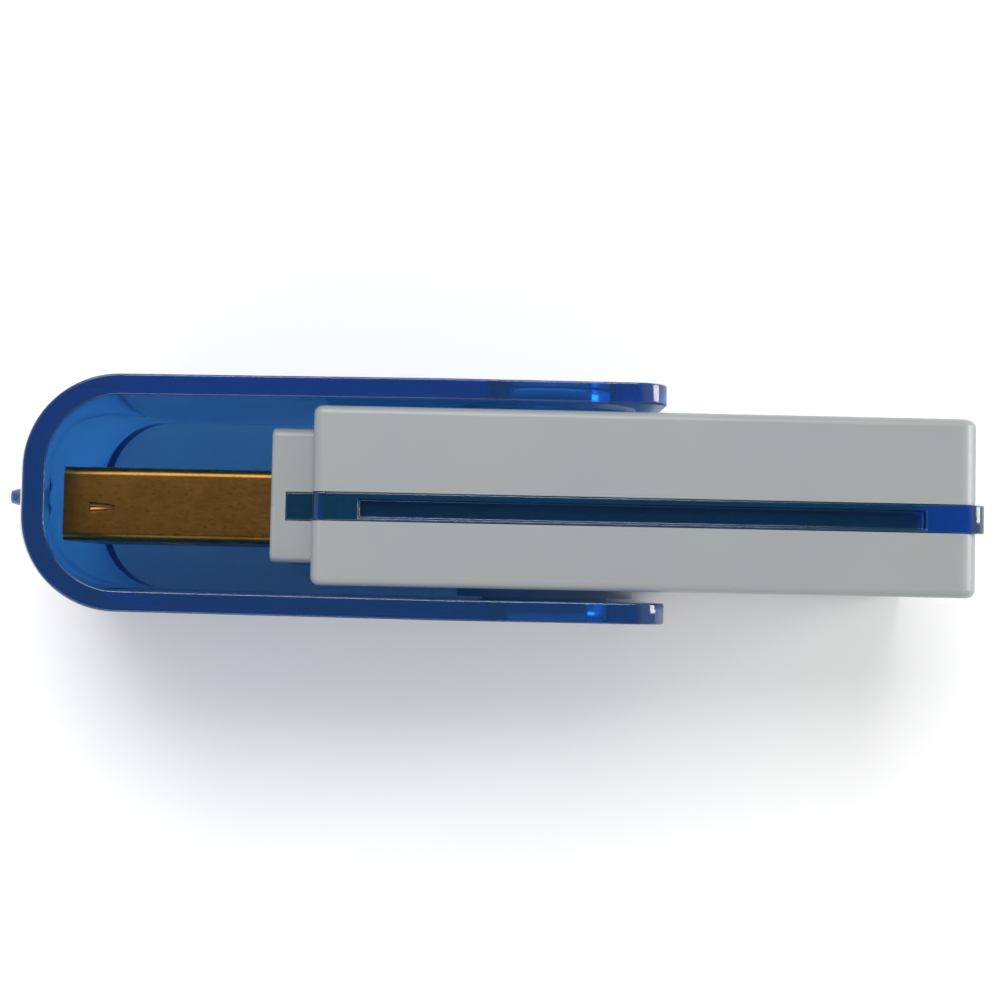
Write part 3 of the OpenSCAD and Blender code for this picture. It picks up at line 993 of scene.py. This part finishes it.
BOARD_PARTS = [
    BoardPart("circuit_board", "board_panel", "board_mask", Finishes.BOARD, 0.04),
    BoardPart("usb_plug_tongue", "plug_tongue_moulding", "tongue_plastic", Finishes.TONGUE, 0.06),
    BoardPart("usb_plug_contacts", "plug_contact_strips", "contact_gold", Finishes.GOLD, 0.03),
    BoardPart("microcontroller", "controller_package", "chip_epoxy", Finishes.EPOXY, 0.05),
    BoardPart("microcontroller_leads", "controller_leads", "tinned_lead", Finishes.TIN, 0.02),
    BoardPart("crystal_can", "crystal_can_drawn", "can_steel", Finishes.CAN, 0.15),
    BoardPart("crystal_base", "crystal_base_moulding", "header_plastic", Finishes.NYLON, 0.06),
    BoardPart("voltage_regulator", "regulator_package", "chip_epoxy", Finishes.EPOXY, 0.08),
    BoardPart("regulator_leads", "regulator_lead_set", "tinned_lead", Finishes.TIN, 0.04),
    BoardPart("tantalum_capacitor", "tantalum_package", "tantalum_yellow", Finishes.TANTALUM, 0.1),
    BoardPart("resettable_fuse", "fuse_body", "fuse_green", Finishes.FUSE, 0.12),
    BoardPart("protection_diode", "diode_package", "chip_epoxy", Finishes.EPOXY, 0.06),
    BoardPart("diode_leads", "diode_lead_set", "tinned_lead", Finishes.TIN, 0.03),
    BoardPart("power_led", "power_led_lens", "led_red", Finishes.RED_LENS, 0.05),
    BoardPart("status_led", "status_led_lens", "led_blue", Finishes.BLUE_LENS, 0.05),
    BoardPart("chip_resistors", "resistor_chips", "resistor_black", Finishes.RESISTOR, 0.04),
    BoardPart("chip_capacitors", "capacitor_chips", "capacitor_tan", Finishes.CAPACITOR, 0.05),
    BoardPart("signal_header_base", "header_base_moulding", "header_plastic",
              Finishes.NYLON, 0.08),
    BoardPart("header_solder", "header_solder_joints", "solder", Finishes.SOLDER, 0.05),
]


# Studio -----------------------------------------------------------------------------------


@dataclass
class Lamp:
    """A soft square lamp that points at the object."""

    name: str
    place: Point
    size: float
    power: float

    def build(self) -> bpy.types.Object:
        """Hang the lamp, place and size in metres, power in watts, and return it."""
        light = bpy.data.lights.new(self.name, "AREA")
        light.size = self.size
        light.energy = self.power
        lamp = bpy.data.objects.new(self.name, light)
        bpy.context.scene.collection.objects.link(lamp)
        lamp.location = self.place
        lamp.rotation_euler = (PIVOT - Vector(self.place)).to_track_quat("-Z", "Y").to_euler()
        return lamp


@dataclass
class Studio:
    """A pale table, soft light from both sides and past the header end, and the camera."""

    table_size: float = 3.0
    room_light: float = 0.68
    ceiling_light: float = 0.06
    lamps: list[Lamp] = field(default_factory=lambda: [
        Lamp("key", (-0.06, 0.30, 0.46), 0.35, 2.1),
        Lamp("fill", (-0.2, -0.38, 0.36), 0.4, 0.9),
        Lamp("edge", (0.5, 0.1, 0.1), 0.22, 1.6),
    ])
    camera_place: Point = (-4.79, -4.80, 117.83)
    camera_turn: Point = (2.534, -0.945, 1.162)
    lens: float = 66.3

    def build(self, finishes: Finishes) -> None:
        """Lay the table, light the room and stand the camera."""
        self.table(finishes)
        self.room()
        for lamp in self.lamps:
            lamp.build()
        self.camera()
        bpy.context.scene.view_settings.view_transform = "Standard"

    def table(self, finishes: Finishes) -> None:
        """Lay the table top just under the object."""
        bpy.ops.object.select_all(action="DESELECT")
        low = CAD_BOX[0].z - 0.02 * MM
        bpy.ops.mesh.primitive_plane_add(size=self.table_size, location=(0, 0, low))
        table = keep_place("table_top")
        table.data.materials.append(finishes.of(Finishes.TABLE))

    def room(self) -> None:
        """Light the room: bright walls under a darker ceiling."""
        world = bpy.data.worlds.new("room")
        bpy.context.scene.world = world
        world.use_nodes = True
        tree = world.node_tree
        tree.nodes.clear()
        way = add_node(tree, "ShaderNodeTexCoord").outputs["Generated"]
        height = add_node(tree, "ShaderNodeSeparateXYZ", {0: way}).outputs["Z"]
        level = add_node(tree, "ShaderNodeMapRange", {
            "Value": height, "From Min": 0.75, "From Max": 0.97, "To Min": self.room_light,
            "To Max": self.ceiling_light})
        sky = add_node(tree, "ShaderNodeBackground", {
            "Color": linear("#ffffff"), "Strength": level.outputs[0]})
        add_node(tree, "ShaderNodeOutputWorld", {"Surface": sky.outputs[0]})

    def camera(self) -> None:
        """Stand the camera above the table, looking down with a slight tilt."""
        data = bpy.data.cameras.new("camera")
        data.lens = self.lens
        data.clip_start = 0.001
        camera = bpy.data.objects.new("camera", data)
        bpy.context.scene.collection.objects.link(camera)
        camera.location = at(*self.camera_place)
        camera.rotation_euler = [math.radians(turn) for turn in self.camera_turn]
        bpy.context.scene.camera = camera


def main() -> None:
    """Build the programmer and its studio in order."""
    logging.basicConfig(level=logging.INFO, format="%(name)s: %(message)s")
    finishes = Finishes()
    SwivelCap().build(finishes)
    Covers().build(finishes)
    LightBands().build(finishes)
    UsbPlug().build(finishes)
    SignalHeader().build(finishes)
    for part in BOARD_PARTS:
        part.build(finishes)
    Studio().build(finishes)


if __name__ == "__main__":
    main()
